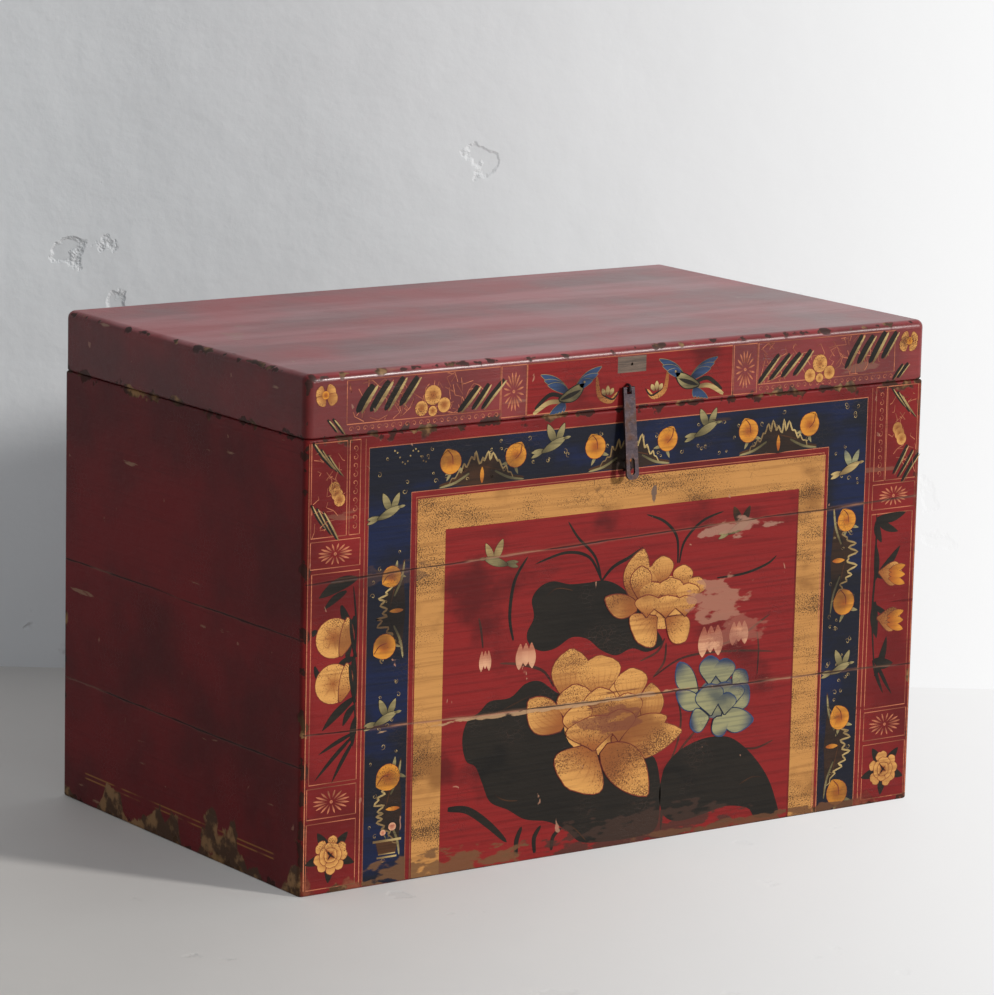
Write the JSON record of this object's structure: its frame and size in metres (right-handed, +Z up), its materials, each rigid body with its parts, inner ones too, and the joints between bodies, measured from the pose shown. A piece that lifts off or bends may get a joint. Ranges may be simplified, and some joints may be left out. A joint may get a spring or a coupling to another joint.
{
  "type": "painted wooden chest",
  "caption": "Rectangular lacquered plank chest with a hinged cap lid, iron loop hinges and a slotted iron hasp that drops over a lock staple.",
  "frame": {"origin": "centre of the base, on the surface the chest stands on", "axes": "+X along the front to the viewer's right, +Z up, the painted front faces -Y"},
  "size_m": [0.78, 0.4972, 0.5229],
  "materials": {
    "lacquered_wood": "worn red lacquer with painted ornament on the front",
    "bare_wood": "aged unpainted softwood",
    "bamboo": "dry split bamboo",
    "wrought_iron": "hand-forged, dark and rusted"
  },
  "bodies": {
    "chest_body": {"front_board_bottom": "lacquered_wood", "front_board_middle": "lacquered_wood", "front_board_top": "lacquered_wood", "back_board_bottom": "lacquered_wood", "back_board_middle": "lacquered_wood", "back_board_top": "lacquered_wood", "left_board_bottom": "lacquered_wood", "left_board_middle": "lacquered_wood", "left_board_top": "lacquered_wood", "right_board_bottom": "lacquered_wood", "right_board_middle": "lacquered_wood", "right_board_top": "lacquered_wood", "floor_board_front": "bare_wood", "floor_board_middle": "bare_wood", "floor_board_back": "bare_wood", "floor_pegs": "bamboo", "seam_dowels": "bamboo", "hinge_pin_body_left": "wrought_iron", "hinge_pin_body_right": "wrought_iron", "lock_staple": "wrought_iron"},
    "lid": {"lid_rail_front": "lacquered_wood", "lid_rail_back": "lacquered_wood", "lid_rail_left": "lacquered_wood", "lid_rail_right": "lacquered_wood", "lid_board_front": "lacquered_wood", "lid_board_back": "lacquered_wood", "lid_batten_left": "bare_wood", "lid_batten_right": "bare_wood", "lid_patch": "bare_wood", "lid_pegs": "bamboo", "hinge_pin_lid_left": "wrought_iron", "hinge_pin_lid_right": "wrought_iron", "hasp_staple": "wrought_iron"},
    "hasp": {"hasp": "wrought_iron"}
  },
  "joints": [
    {"name": "lid_hinge", "type": "hinge", "parent": "chest_body", "child": "lid", "pos_m": [0, 0.242, 0.4592], "axis": [-1, 0, 0], "range_deg": [0, 100]},
    {"name": "hasp_swing", "type": "hinge", "parent": "lid", "child": "hasp", "pos_m": [-0.004, -0.237, 0.481], "axis": [-1, 0, 0], "range_deg": [-6.81, 160]}
  ]
}
